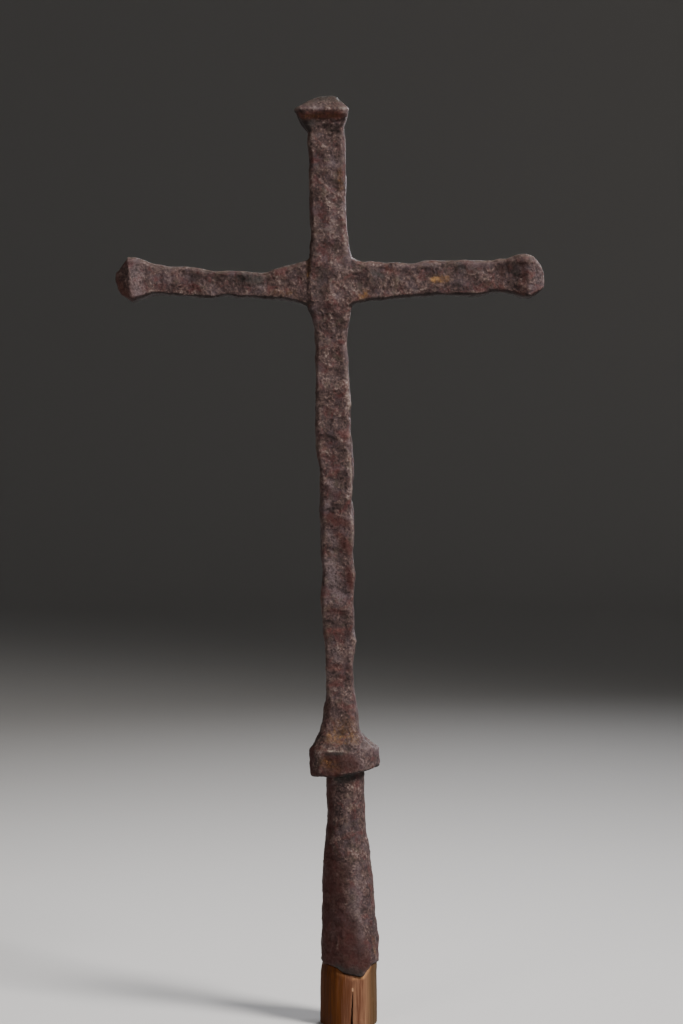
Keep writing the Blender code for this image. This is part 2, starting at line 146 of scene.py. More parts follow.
def readPoints(mesh):
    # places in mm and normals of all points
    points = np.empty(len(mesh.vertices) * 3, dtype=np.float32)
    mesh.vertices.foreach_get("co", points)
    normals = np.empty(len(mesh.vertices) * 3, dtype=np.float32)
    mesh.vertex_normals.foreach_get("vector", normals)
    return points.reshape(-1, 3) / mm, normals.reshape(-1, 3)


def writePoints(mesh, points):
    # puts the points back, none of them outside the CAD model's box
    points = np.clip(points, np.array(cadLow) / mm, np.array(cadHigh) / mm)
    mesh.vertices.foreach_set("co", (points * mm).astype(np.float32).ravel())
    mesh.update()


def writeMask(mesh, name, values):
    layer = mesh.attributes.get(name) or mesh.attributes.new(name, "FLOAT", "POINT")
    layer.data.foreach_set("value", np.asarray(values, dtype=np.float32))


def fadeFromLines(points, lines):
    # each line is start, end, reach and strength, in mm; the strengths add up with soft edges
    total = np.zeros(len(points))
    for start, end, reach, strength in lines:
        a, b = np.array(start, dtype=float), np.array(end, dtype=float)
        length = max(1e-9, ((b - a) ** 2).sum())
        along = np.clip(((points - a) @ (b - a)) / length, 0, 1)
        away = np.linalg.norm(points - a - along[:, None] * (b - a), axis=1)
        total += strength * np.exp(-((away / reach) ** 2))
    return total


def ramp01(values, low, high):
    share = np.clip((values - low) / (high - low), 0, 1)
    return share * share * (3 - 2 * share)


def sumPatterns(tree, field, parts):
    # one tone from many patterns, each eased between its limits: name, from, to, least and most
    tone = 0.0
    for name, low, high, least, most in parts:
        share = addNode(
            tree, "ShaderNodeMapRange", {0: field[name], 1: low, 2: high, 3: least, 4: most},
            interpolation_type="SMOOTHSTEP",
        )
        tone = addNode(tree, "ShaderNodeMath", {0: tone, 1: share}, operation="ADD")
    return tone


def layColours(tree, field, colour, layers):
    # lays colours over the one below, in order: the pattern or mark, from, to and strength,
    # then the pattern that breaks it up, from, to and least, then the colour
    for name, low, high, strength, breaker, breakLow, breakHigh, least, shade in layers:
        share = addNode(
            tree, "ShaderNodeMapRange", {0: field[name], 1: low, 2: high, 4: strength},
            interpolation_type="SMOOTHSTEP",
        )
        if breaker:
            broken = addNode(
                tree, "ShaderNodeMapRange", {0: field[breaker], 1: breakLow, 2: breakHigh, 3: least},
                interpolation_type="SMOOTHSTEP",
            )
            share = addNode(tree, "ShaderNodeMath", {0: share, 1: broken}, operation="MULTIPLY")
        colour = addNode(
            tree, "ShaderNodeMix", {0: share, 6: colour, 7: hexColour(shade)}, out=2, data_type="RGBA"
        )
    return colour


# the iron: one forging, hammered, then eaten by rust

forging = {
    "voxel": 0.72 * mm,
    "softenRounds": 2,
    "triangles": 194000,
    "boreTop": 126.0,  # mm, inside this height the bore's own wall is left alone
    "skinFacing": (0.05, 0.5),  # how far a face below it has to turn outward to count as outer skin
    "leanDegrees": 1.7,
    "leanStart": 42.0,
    "collarHeight": 172.0,  # the hammer's dishes are shallower on the socket, below here
    "collarRun": 28.0,  # and they reach their full depth over this height
    "socketBlows": 0.75,
    "neckHeight": 188.0,  # middle of the roughest scale, on the neck and the knop
    "neckReach": 17.0,
    "neckRoughness": 0.9,
    "socketRoughness": 0.3,
}

# hollows (minus) and ridges (plus) that the smith left and the photo shows, in mm
smithMarks = [
    ((-28.0, -9, 513), (-28.4, -9, 500), 1.6, -0.35),  # where the left arm's sunk face meets the middle
    ((-28.5, -9, 498), (-29.8, -8, 484), 3.2, 0.80),
    ((-13.1, -13, 512), (-12.4, -13, 482), 1.6, 0.30),  # ridge down the middle
    ((-12.0, -12, 480), (1.0, -10, 468), 1.5, 0.45),  # ridge running off to the lower right
    ((-20.5, -10, 504), (-19.5, -10, 486), 4.0, -0.35),
    ((-3.0, -11, 490), (2.0, -10, 481), 4.0, -0.30),
    ((12.0, -9, 493), (22.0, -8, 492), 4.0, -0.25),
    ((96.0, -8, 510), (96.6, -7, 488), 1.3, -0.55),  # step across the right arm
    ((98.0, 0, 486.5), (99.5, 0, 487), 3.5, -0.90),
    ((106.5, -13, 502), (107.5, -13, 499), 4.2, -0.70),
    ((84.0, -9, 490), (90.0, -9, 488), 2.2, 0.35),
    ((59.0, -9, 499), (66.0, -9, 497), 5.0, -0.30),
    ((-125.2, -8, 508), (-124.6, -8, 489), 1.6, -0.40),  # ripples across the left arm
    ((-118.0, -8, 507), (-117.4, -8, 489), 1.3, -0.35),
    ((-131.5, -8, 506), (-131.8, -8, 491), 2.2, 0.30),
    ((-106.5, -8, 505), (-104.0, -8, 489), 2.0, -0.30),
    ((-58.5, 0, 506.5), (-56.0, 0, 505.5), 3.0, -0.60),
    ((-72.0, -7, 497), (-62.0, -7, 497), 4.0, -0.35),
    ((-6.0, -9, 552), (-16.0, -10, 545), 4.0, -0.35),
    ((-20.0, -9, 585), (-10.0, -9, 576), 3.0, -0.35),
    ((14.5, -11, 171.0), (18.5, -6, 172.0), 2.4, -1.1),  # notch in the knop's underside
    ((-35.6, 0, 609.6), (-35.2, -8, 609.6), 1.5, 1.3),  # the rim is drawn out thin at both sides
    ((-1.9, 0, 609.8), (-2.2, -8, 609.8), 1.4, 0.9),
    ((-35.0, -2, 606.6), (-34.0, -8, 606.4), 1.5, -0.6),
    ((-24, -14, 603.5), (-8, -14, 604.5), 3.0, -0.8),  # the top head is hollow under its rim
    ((-24, 14, 603.5), (-8, 14, 604.5), 3.0, -0.6),
    ((-20.3, 0, 46.0), (-20.3, -4, 46.0), 3.4, -0.6),  # lip beaten in on the left
    ((-9.0, -18, 112), (-11.0, -19, 72), 6.0, -0.45),  # flats along the socket
    ((7.0, -15, 118), (9.0, -17, 66), 5.0, -0.35),
    ((-9.6, -17, 75.0), (-8.6, -18, 67.5), 1.0, 0.25),  # two short ridges on the socket
    ((-7.9, -18, 58.0), (-8.6, -18, 52.0), 1.0, 0.20),
]

# how wide each kind of relief is and how deep; these are the tree's inputs
corrosion = {
    "blowSize": 12.5 * mm,
    "blowDepth": 2.3 * mm,
    "lumpSize": 30.0 * mm,
    "lumpDepth": 1.2 * mm,
    "flakeSize": 7.0 * mm,
    "flakeDepth": 0.24 * mm,
    "crustSize": 3.1 * mm,
    "crustDepth": 0.64 * mm,
    "grainSize": 1.4 * mm,
    "grainDepth": 0.48 * mm,
    "strokeSize": 1.3 * mm,
    "strokeDepth": 0.50 * mm,
    "pitSize": 2.8 * mm,
    "pitDepth": 0.18 * mm,
    "sink": 0.08 * mm,
}

# how far a point stands out from its smoothed surroundings: name, rounds of smoothing and the
# distance that counts as 1
standouts = [
    ("crest", 3, 0.16 * mm),
    ("edgeWear", 26, 0.75 * mm),
]


def corrodedTree(sizes):
    tree, given = newGeometryTree("corrodedSkin", sizes)
    place = addNode(tree, "GeometryNodeInputPosition")
    normal = addNode(tree, "GeometryNodeInputNormal")
    mask = {
        name: addNode(tree, "GeometryNodeInputNamedAttribute", {0: name}, data_type="FLOAT")
        for name in ("outerSkin", "barShare", "scaleShare")
    }
    often = {  # how often each pattern repeats in a metre
        name[:-4]: addNode(tree, "ShaderNodeMath", {0: 1.0, 1: given[name]}, operation="DIVIDE")
        for name in sizes if name.endswith("Size")
    }
    # short slanting strokes, where the iron's own fibres show
    tilted = addNode(
        tree, "ShaderNodeVectorRotate", {"Vector": place, "Axis": (0.0, 1.0, 0.0), "Angle": math.radians(34)}
    )
    drawn = addNode(tree, "ShaderNodeVectorMath", {0: tilted, 1: (1.0, 1.0, 0.3)}, operation="MULTIPLY")

    height = {}
    for name, detail, roughness, vector in (
        ("lump", 2.0, 0.5, place),  # long uneven lumps
        ("crust", 5.0, 0.68, place),  # coarse rust skin and its grain
        ("grain", 2.0, 0.5, place),
        ("stroke", 3.0, 0.5, drawn),
    ):
        wave = addNode(
            tree, "ShaderNodeTexNoise",
            {"Vector": vector, "Scale": often[name], "Detail": detail, "Roughness": roughness},
        )
        height[name] = addNode(tree, "ShaderNodeMath", {0: wave, 1: 0.5}, operation="SUBTRACT")
    for name in ("crust", "grain"):
        height[name] = addNode(
            tree, "ShaderNodeMath", {0: height[name], 1: mask["scaleShare"]}, operation="MULTIPLY"
        )
    # hammer blows: shallow dishes with blunt ridges between them
    blows = addNode(
        tree, "ShaderNodeTexVoronoi", {"Vector": place, "Scale": often["blow"], "Smoothness": 0.35},
        out="Distance", feature="SMOOTH_F1",
    )
    blows = addNode(tree, "ShaderNodeMath", {0: blows, 1: 0.42}, operation="SUBTRACT")
    height["blow"] = addNode(tree, "ShaderNodeMath", {0: blows, 1: mask["barShare"]}, operation="MULTIPLY")
    # places where a layer of scale has come off, with a definite edge
    flakes = addNode(
        tree, "ShaderNodeTexNoise",
        {"Vector": place, "Scale": often["flake"], "Detail": 4.0, "Roughness": 0.62, "Distortion": 0.6},
    )
    flakes = addNode(
        tree, "ShaderNodeMapRange", {0: flakes, 1: 0.49, 2: 0.56}, interpolation_type="SMOOTHSTEP"
    )
    # round pits, only in about half of the cells
    cells = addNode(tree, "ShaderNodeTexVoronoi", {"Vector": place, "Scale": often["pit"]}, out="Distance")
    dish = addNode(
        tree, "ShaderNodeMapRange", {0: cells, 1: 0.42, 2: 0.12}, interpolation_type="SMOOTHSTEP"
    )
    some = addNode(tree, "ShaderNodeSeparateXYZ", {0: cells.node.outputs["Color"]})
    some = addNode(tree, "ShaderNodeMapRange", {0: some, 1: 0.48, 2: 0.62})
    pits = addNode(tree, "ShaderNodeMath", {0: dish, 1: some}, operation="MULTIPLY")
    for name, drop in (("flake", flakes), ("pit", pits)):
        height[name] = addNode(tree, "ShaderNodeMath", {0: drop, 1: -1.0}, operation="MULTIPLY")

    rise = addNode(tree, "ShaderNodeMath", {0: given["sink"], 1: -1.0}, operation="MULTIPLY")
    for name, layer in height.items():
        rise = addNode(
            tree, "ShaderNodeMath", {0: layer, 1: given[name + "Depth"], 2: rise}, operation="MULTIPLY_ADD"
        )
    rise = addNode(tree, "ShaderNodeMath", {0: rise, 1: mask["outerSkin"]}, operation="MULTIPLY")
    offset = addNode(tree, "ShaderNodeVectorMath", {0: normal, "Scale": rise}, operation="SCALE")
    flow = addNode(tree, "GeometryNodeSetPosition", {"Geometry": given["Mesh"], "Offset": offset})

    # marks for the finish: fine crests, worn edges, pits and bared flakes
    marks = [("pitMark", pits), ("flakeMark", flakes)]
    for name, rounds, size in standouts:
        around = addNode(
            tree, "GeometryNodeBlurAttribute", {"Value": place, "Iterations": rounds},
            data_type="FLOAT_VECTOR",
        )
        gap = addNode(tree, "ShaderNodeVectorMath", {0: place, 1: around}, operation="SUBTRACT")
        gap = addNode(tree, "ShaderNodeVectorMath", {0: gap, 1: normal}, out="Value", operation="DOT_PRODUCT")
        gap = addNode(tree, "ShaderNodeMath", {0: gap, 1: 1 / size}, operation="MULTIPLY")
        marks.append((name, gap))
    for name, value in marks:
        flow = addNode(
            tree, "GeometryNodeStoreNamedAttribute", {"Geometry": flow, "Name": name, "Value": value},
            data_type="FLOAT", domain="POINT",
        )
    plain = addNode(tree, "GeometryNodeRealizeInstances", {0: flow})
    dressed = addNode(tree, "GeometryNodeSetMaterial", {"Geometry": plain, "Material": given["finish"]})
    addNode(tree, "NodeGroupOutput", {0: dressed})
    return tree


# where the iron's colour changes: start, end, reach and strength, in mm
ironBlooms = {
    "ochreBloom": [
        ((8.1, -9, 487.5), (10.5, -9, 489), 2.8, 1.1),  # in the right arm's lower corner
        ((-50, -7, 490), (-37, -8, 489), 2.6, 0.45),
        ((55, -9, 498), (64, -9, 498.5), 2.6, 1.0),
        ((-6.5, -10, 570), (-6.0, -10, 558), 2.2, 0.5),
        ((-12, -16, 195), (4, -16, 195), 5.0, 0.85),
        ((-30, -14, 605.0), (-8, -14, 605.6), 2.4, 0.45),
        ((-8, -13, 203), (2, -13, 205), 5.0, 0.40),
        ((-17, -20, 178), (-9, -20, 175), 4.2, 0.55),
        ((15, -10, 60), (17.6, -9, 50), 2.4, 0.35),
        ((-27.5, -9, 512), (-27.8, -9, 501), 1.8, 0.7),
        ((-14, 12, 330), (-2, 12, 322), 7.0, 0.8),  # the back's own blooms, a guess
        ((40, 8, 497), (52, 8, 497), 6.0, 0.8),
        ((-6, 17, 194), (6, 17, 190), 6.0, 0.6),
    ],
    "goldSpecks": [
        ((-5.8, -14, 199.7), (-5.4, -14, 199.5), 1.2, 1.4),
        ((-3.2, -14, 199.0), (-3.0, -14, 198.8), 1.1, 1.0),
        ((-11.1, -18, 193.0), (-10.8, -18, 193.0), 1.2, 1.4),
        ((-13.8, -19, 191.2), (-13.5, -19, 191.2), 1.0, 0.9),
        ((5.5, -17, 193.6), (6.4, -16, 191.0), 1.0, 0.9),
        ((4.1, -20, 187.4), (4.5, -20, 187.3), 1.0, 0.9),
        ((10.4, -9, 488.0), (10.8, -9, 488.6), 0.9, 0.45),
        ((54.6, -9, 498.2), (58.5, -9, 498.6), 1.5, 0.42),
        ((17.0, -10, 52.5), (17.8, -9, 48.5), 0.9, 0.5),
    ],
    "sootAndPaintedShade": [
        ((107.0, -13, 502.5), (110, -13, 501.5), 2.6, 1.1),
        ((104, -12, 508), (112, -13, 508), 2.0, 0.4),
        ((-72, -7, 499), (-60, -7, 498), 4.5, 0.8),
        ((6.2, -5, 225), (-0.2, -5, 455), 2.2, 0.6),  # dark side behind the shaft's right edge
        ((14.5, -9, 503), (21.5, -9, 500.5), 2.2, 0.9),
        ((-9, -13, 166.6), (2, -13, 166.8), 3.2, 1.2),  # painted shade under the knop
        ((-16, -20, 184.0), (-2, -21, 184.4), 1.5, 0.8),
        ((-9, -20, 177), (2, -21, 176), 5.0, 0.45),
        ((-21, -9, 504), (-20, -9, 487), 3.6, 0.55),
        ((72, -9, 507), (84, -9, 503), 3.0, 0.6),
        ((-7, -17, 40), (6, -18, 37), 4.0, 1.0),
        ((2, -18, 92), (6, -19, 50), 6.5, 0.35),
        ((-26, -12, 600), (-24, -10, 606), 3.0, 0.7),
        ((-28, -4, 614), (-8, -4, 615), 8.0, 1.15),  # smoke on the top cap
        ((-16, 10, 420), (-6, 10, 400), 8.0, 0.7),
        ((-100, 8, 498), (-90, 8, 498), 7.0, 0.7),
        ((0, 19, 90), (4, 19, 70), 8.0, 0.6),
    ],
    "liverRustAndPaintedShade": [  # thick rust, dark and red, where nothing rubs; on the left faces of the knop, neck and socket it is painted shade
        # painted shade on the knop's left chamfer
        ((-25.0, -10, 172), (-25.0, -11, 184), 4.4, 1.6),
        ((-22, -16, 170), (-8, -20, 169.5), 2.4, 0.9),
        ((-14, -20, 181), (1, -21, 179.5), 5.0, 1.1),
        ((-12, -20, 175), (4, -20, 175), 4.5, 0.75),
        ((15, -11, 170.0), (19, -6, 171), 2.4, 1.0),
        # painted shade on the neck's left facet
        ((-15.5, -10, 215), (-16.5, -12, 202), 2.6, 0.8),
        # painted shade down the socket's left side
        ((-14.0, -7, 164), (-15.0, -8, 110), 4.4, 1.1),
        ((-16.0, -9, 110), (-18.5, -9, 48), 6.5, 1.2),
        ((-12, -16, 47), (8, -18, 42), 7.5, 1.0),
        ((2, -18, 66), (9, -17, 50), 7.0, 0.65),
        ((-14, -9, 340), (-2, -9, 336), 3.6, 0.85),
        ((-5, -9, 323), (0, -9, 318), 3.6, 0.85),
        ((-1, -9, 306), (1, -9, 294), 2.8, 0.9),
        ((-14, -9, 279), (-4, -9, 277), 2.6, 0.6),
        # painted shade on the socket's left third
        ((-8, -17, 105), (-6, -18, 55), 8.0, 0.75),
        ((-33, -13, 606.0), (-6, -14, 606.4), 3.0, 0.55),
        ((-156, 0, 499), (-149, -10, 487), 8.0, 0.45),
        ((-14, -9, 263), (0, -9, 262.5), 1.5, 0.55),
        ((-14, -9, 242), (0, -9, 241.5), 1.5, 0.55),
        ((-20, -9, 362), (-8, -9, 355), 3.0, 0.5),
        ((100, -9, 506), (101, -9, 490), 2.2, 0.5),
        ((114, -13, 508), (116, -13, 491), 2.4, 0.6),
        ((-16, 16, 174), (10, 18, 176), 5.0, 0.7),  # the back's own, a guess
        ((-30, 13, 606.0), (-8, 13, 606.4), 3.0, 1.0),
    ],
    "redBloom": [  # thin bright rust
        ((-156, 0, 499), (-149, -10, 487), 8.0, 0.5),
        ((-31, -14, 605.8), (-7, -14, 606.2), 2.8, 1.1),
        ((-15, -9, 265.5), (0, -9, 265.0), 1.8, 0.6),
        ((-16, -9, 240), (0, -9, 238.5), 1.8, 0.6),
        ((103, -12, 489.5), (114, -13, 488.5), 2.4, 0.6),
        ((15.5, -11, 173.5), (19.5, -6, 173.5), 2.0, 0.7),
        ((-117, -8, 502), (-112, -8, 498), 2.6, 0.5),
        ((-8, -9, 330), (-2, -9, 322), 4.0, 0.4),
        ((24, -9, 506), (30, -9, 503), 2.8, 0.5),
        ((10, 12, 400), (-10, 12, 380), 6.0, 0.5),  # on the back, a guess
    ],
    "paintedSheen": [  # painted sheen: purple grey where light catches the socket's front strip, the knop's right slope, the neck and the shaft
        ((4.5, -15, 108), (7.5, -17, 62), 3.2, 0.55),
        ((6.0, -18, 62), (9.5, -18, 48), 3.4, 0.45),
        ((8.0, -16, 188), (17.0, -8, 186), 5.0, 0.6),
        ((6.0, -9, 215), (8.0, -12, 198), 2.5, 0.5),
        ((2.0, -20, 182), (12.0, -17, 174), 4.5, 0.6),
        ((-13.5, -9, 363), (-11.5, -9, 359), 3.0, 0.8),  # painted highlights on facets of the shaft
        ((-15.5, -9, 350), (-14.0, -9, 346), 2.2, 0.8),
        ((-12.0, -9, 328), (-8.0, -9, 323), 3.8, 0.7),
        ((-13.0, -9, 308), (-11.0, -9, 300), 5.0, 0.9),
        ((-10.0, -9, 292), (-6.0, -9, 286), 4.5, 0.8),
        ((-11.0, -9, 252), (-8.0, -9, 247), 3.8, 0.7),
        ((-141, -12, 506), (-141, -12, 489), 6.0, 0.6),
        ((6.0, 15, 110), (9.0, 17, 50), 4.5, 0.6),
    ],
    # pale scratches, and painted highlights along lit edges
    "paleScratchAndHighlight": [
        ((0.6, -20, 46.3), (3.0, -20, 44.0), 0.55, 1.0),
        ((3.0, -20, 44.0), (5.2, -20, 39.2), 0.55, 1.0),
        ((-9.6, -16, 87.0), (-10.4, -16, 80.0), 0.5, 0.6),
        ((-10.4, -16, 80.0), (-8.0, -17, 73.5), 0.5, 0.5),
        ((-9.6, -17, 75.0), (-8.8, -18, 67.0), 0.5, 0.45),
        ((-7.9, -18, 58.0), (-8.6, -18, 52.0), 0.5, 0.45),
        # painted highlight along the left arm's top edge
        ((-110.0, -8, 507), (-84.0, -8, 503), 0.8, 0.35),
        ((17.0, -10, 56), (18.0, -8, 45), 1.3, 0.45),
        # painted highlight along the knop's top rim
        ((-15.0, -20, 185.6), (4.0, -21, 186.4), 0.8, 0.8),
        ((5.2, -8.6, 222), (-1.6, -8.6, 455), 1.1, 0.5),  # painted glints down the shaft's right edge
    ],
}

# the iron's patterns: size, detail, roughness, shift and distortion
ironPatterns = {
    "patches": (19 * mm, 3.0, 0.55, 0.11, 0.4),  # patches as wide as the bar
    "mottle": (4.6 * mm, 5.0, 0.66, 0.23, 0.0),  # blisters of rust
    "grit": (1.4 * mm, 5.0, 0.66, 0.37, 0.3),  # rust grain; real grain is 0.3 mm, coarser here to show
    "redStain": (8 * mm, 5.0, 0.66, 0.51, 0.5),
    "oliveStain": (6 * mm, 5.0, 0.66, 0.77, 0.0),
    "plumStain": (11 * mm, 4.0, 0.64, 0.91, 0.0),
    "ochreStain": (2.4 * mm, 4.0, 0.70, 0.62, 0.0),
    "fleck": (2.3 * mm, 4.0, 0.66, 0.84, 0.4),
    "fine": (0.8 * mm, 4.0, 0.75, 0.19, 0.0),
}

# what the iron's brown is made of, as sumPatterns takes it
ironTone = [
    ("patches", 0.30, 0.70, 0.0, 0.20),
    ("mottle", 0.32, 0.68, 0.0, 0.26),
    ("grit", 0.32, 0.68, 0.0, 0.25),
    ("crest", -1.0, 1.1, 0.0, 0.31),
]

# the colours laid over the brown, as layColours takes them
ironLayers = [
    ("redStain", 0.48, 0.66, 0.60, None, 0, 0, 0, "#4b2220"),
    ("oliveStain", 0.53, 0.68, 0.50, None, 0, 0, 0, "#40372b"),
    ("plumStain", 0.50, 0.66, 0.45, None, 0, 0, 0, "#4c3f43"),
    ("flakeMark", 0.20, 0.90, 0.22, None, 0, 0, 0, "#3a2a2c"),
    ("pitMark", 0.00, 1.00, 0.18, None, 0, 0, 0, "#1d0e0c"),
    ("crest", -0.40, -1.30, 0.60, None, 0, 0, 0, "#2b1512"),
    ("edgeWear", 0.55, 2.20, 0.60, "mottle", 0.36, 0.62, 0.0, "#6f6662"),
    ("fleck", 0.60, 0.74, 0.34, "crest", -0.1, 0.9, 0.0, "#857b74"),
    ("fleck", 0.38, 0.28, 0.15, None, 0, 0, 0, "#1c110e"),
    # painted sheen, purple grey
    ("paintedSheen", 0.00, 1.00, 0.55, "grit", 0.32, 0.62, 0.15, "#726365"),
    ("upward", 0.35, 0.90, 0.42, "mottle", 0.30, 0.65, 0.2, "#564b41"),  # tan dust that settled, and painted light on faces that point up
    # painted shade: faces that point down are darkened almost to black
    ("upward", -0.08, -0.50, 0.92, None, 0, 0, 0, "#180a08"),
    ("redBloom", 0.00, 1.00, 0.72, "mottle", 0.32, 0.62, 0.1, "#5f3027"),
    # thick rust, and painted shade on left faces
    ("liverRustAndPaintedShade", 0.00, 1.00, 0.90, "grit", 0.30, 0.62, 0.50, "#33130e"),
    ("ochreBloom", 0.00, 1.00, 0.75, "ochreStain", 0.34, 0.62, 0.0, "#63431f"),
    ("ochreBloom", 0.10, 0.80, 0.60, "ochreStain", 0.58, 0.72, 0.0, "#a37c4f"),
    # soot, and painted shade under the knop
    ("sootAndPaintedShade", 0.00, 1.00, 0.78, "mottle", 0.28, 0.60, 0.35, "#1c1e1b"),
    # pale scratches and painted highlights
    ("paleScratchAndHighlight", 0.00, 1.00, 0.70, "fleck", 0.42, 0.58, 0.1, "#9a8e80"),
    ("goldSpecks", 0.00, 1.00, 1.00, None, 0, 0, 0, "#c99a66"),
]


ironSheen = {
    "dullest": 0.72,  # roughness of the darkest brown
    "brightest": 0.46,  # and of rubbed crests
    "specular": 0.25,
    "bumpHeight": 0.55 * mm,
}


def forgedIronFinish():
    # wrought iron, hand forged, under old waxed brown rust: dull, dark and mottled, liver red where the rust
    # is thick, purple grey where crests and edges are rubbed; painted shade on left faces and under faces
    # that point down, painted light on faces that point up, a painted purple grey sheen and painted
    # highlights where light falls
    finish = bpy.data.materials.new("handForgedIronOldBrownRust")
    finish.use_nodes = True
    tree = finish.node_tree
    shader = tree.nodes["Principled BSDF"]
    place = addNode(tree, "ShaderNodeTexCoord", out="Object")
    field = {}
    for name, (size, detail, roughness, shift, distortion) in ironPatterns.items():
        # each pattern has its own shift, so that no two of them line up
        moved = addNode(tree, "ShaderNodeMapping", {"Vector": place, "Location": (shift, shift * 0.7, 0.3)})
        field[name] = addNode(
            tree, "ShaderNodeTexNoise",
            {"Vector": moved, "Scale": 1 / size, "Detail": detail, "Roughness": roughness,
             "Distortion": distortion},
        )
    for name in ("crest", "edgeWear", "pitMark", "flakeMark", *ironBlooms):
        field[name] = addNode(tree, "ShaderNodeAttribute", out="Fac", attribute_name=name)
    facing = addNode(tree, "ShaderNodeNewGeometry", out="Normal")
    field["upward"] = addNode(tree, "ShaderNodeSeparateXYZ", {0: facing}, out=2)

    tone = sumPatterns(tree, field, ironTone)
    colour = addNode(tree, "ShaderNodeValToRGB", {0: tone})
    setRamp(colour.node.color_ramp, [
        (0.10, "#170e0d"), (0.34, "#281a19"), (0.52, "#3c2c29"), (0.70, "#54413c"), (0.95, "#80716a"),
    ])
    colour = layColours(tree, field, colour, ironLayers)

    # rubbed crests shine a little, thick rust and dust don't
    rough = addNode(tree, "ShaderNodeMapRange", {
        0: tone, 1: 0.2, 2: 0.95, 3: ironSheen["dullest"], 4: ironSheen["brightest"],
    })
    for name, low, high, weight in (("upward", 0.35, 0.9, 0.18), ("liverRustAndPaintedShade", 0.0, 1.0, 0.18)):
        share = addNode(tree, "ShaderNodeMapRange", {0: field[name], 1: low, 2: high, 4: weight})
        rough = addNode(tree, "ShaderNodeMath", {0: rough, 1: share}, operation="ADD", use_clamp=True)
    relief = 0.0
    for name, weight in (("grit", 0.6), ("fine", 0.55), ("pitMark", -0.2)):
        relief = addNode(
            tree, "ShaderNodeMath", {0: field[name], 1: weight, 2: relief}, operation="MULTIPLY_ADD"
        )
    bump = addNode(
        tree, "ShaderNodeBump", {"Strength": 1.0, "Distance": ironSheen["bumpHeight"], "Height": relief}
    )
    tree.links.new(colour, shader.inputs["Base Color"])
    tree.links.new(rough, shader.inputs["Roughness"])
    tree.links.new(bump, shader.inputs["Normal"])
    shader.inputs["Specular IOR Level"].default_value = ironSheen["specular"]
    return finish


def makeForging():
    piece = denseCopy("iron_cross", "ironForging", forging["voxel"], forging["softenRounds"])
    mesh = piece.data
    points, normals = readPoints(mesh)
    height = points[:, 2]
    lean = math.tan(math.radians(forging["leanDegrees"]))
    axisX = -lean * np.maximum(0, height - forging["leanStart"])
    outward = np.stack([points[:, 0] - axisX, points[:, 1]], axis=1)
    outward /= np.maximum(1e-6, np.linalg.norm(outward, axis=1))[:, None]
    facing = (outward * normals[:, :2]).sum(axis=1)
    outer = np.where(height < forging["boreTop"], ramp01(facing, *forging["skinFacing"]), 1.0)
    writeMask(mesh, "outerSkin", outer)
    bar = ramp01(height, forging["collarHeight"], forging["collarHeight"] + forging["collarRun"])
    writeMask(mesh, "barShare", forging["socketBlows"] + (1 - forging["socketBlows"]) * bar)
    neck = np.exp(-(((height - forging["neckHeight"]) / forging["neckReach"]) ** 2))
    rougher = forging["neckRoughness"] * neck + forging["socketRoughness"] * (1 - bar)
    writeMask(mesh, "scaleShare", 1 + rougher)
    points += normals * (fadeFromLines(points, smithMarks) * outer)[:, None]
    writePoints(mesh, points)
    print("iron: skin of", len(mesh.vertices), "points struck")

    addTree(piece, corrodedTree(corrosion), {**corrosion, "finish": forgedIronFinish()})
    applyAll(piece)
    mesh = thinTo(piece, forging["triangles"])
    points, normals = readPoints(mesh)
    writePoints(mesh, points)
    for name, lines in ironBlooms.items():
        writeMask(mesh, name, fadeFromLines(points, lines))
    mesh.shade_smooth()
    print("iron: rusted,", len(mesh.polygons), "faces")
    return piece


# the wood: the sawn-off top of a staff

stub = {
    "voxel": 0.34 * mm,
    "softenRounds": 1,
    "triangles": 190000,
    "barkRadius": 17.4,  # mm, all that lies further out shows
    "barkTop": 46.0,
    "barkFacing": (0.3, 0.8),  # how far a face has to turn outward to count as outer wood
    "footEdge": (0.2, 1.2),  # the relief starts between these heights, so that the foot stays flat
    "pushLeft": 0.7,  # the pole isn't quite in line with the iron
    "pushHeights": (41.0, 33.0),  # nothing is pushed above the first, all is below the second
    "crackX": 1.85,
    "crackSlope": 0.032,
    "crackTop": 24.0,
    "crackHalfWidth": 0.675,  # at the foot
    "crackTipShare": 0.35,  # its width at the top end, as a share
    "crackWobble": 0.06,
    "crackWobbleTurn": 0.9,  # radians for each mm of height
    "crackSoftEdge": 0.3,
    "crackFront": (12.0, 15.0),  # only what lies further forward than this is split
    "crackDepth": 4.5,
}

# the same for the wood's grain
fibres = {
    "fibreWidth": 1.0 * mm,
    "fibreDepth": 0.34 * mm,
    "strandWidth": 3.4 * mm,
    "strandDepth": 0.55 * mm,
    "stretch": 0.05,
    "sink": 0.06 * mm,
}

woodHollows = [
    ((6.0, -18, 36.0), (13.0, -14, 40.0), 2.4, -0.5),  # rubbed away beside the tongue
    ((-14.0, -12, 37.0), (-8.0, -17, 33.0), 2.0, -0.3),
    ((8.0, -17, 20.0), (9.0, -17, 6.0), 2.2, -0.25),
]

# where the wood's colour changes: start, end, reach and strength, in mm
woodBlooms = {
    "rimRub": [
        ((3.0, -19, 33.0), (9.6, -17, 33.4), 1.2, 0.7),
        ((9.8, -16, 34.2), (14.5, -13, 41.0), 1.9, 1.0),
        ((-9.0, -17, 36.5), (0.0, -19, 34.0), 1.1, 0.25),
        ((6.0, 18, 40.0), (-6.0, 18, 40.0), 2.0, 0.4),
    ],
    "woodSpecks": [
        ((2.6, -19, 26.5), (2.7, -19, 25.0), 0.6, 0.9),
        ((8.6, -18, 5.3), (9.0, -18, 4.9), 0.8, 1.0),
        ((7.6, -18, 16.0), (7.8, -18, 13.5), 0.6, 0.3),
        ((16.6, -10, 18.0), (16.8, -10, 16.0), 0.6, 0.3),
    ],
}

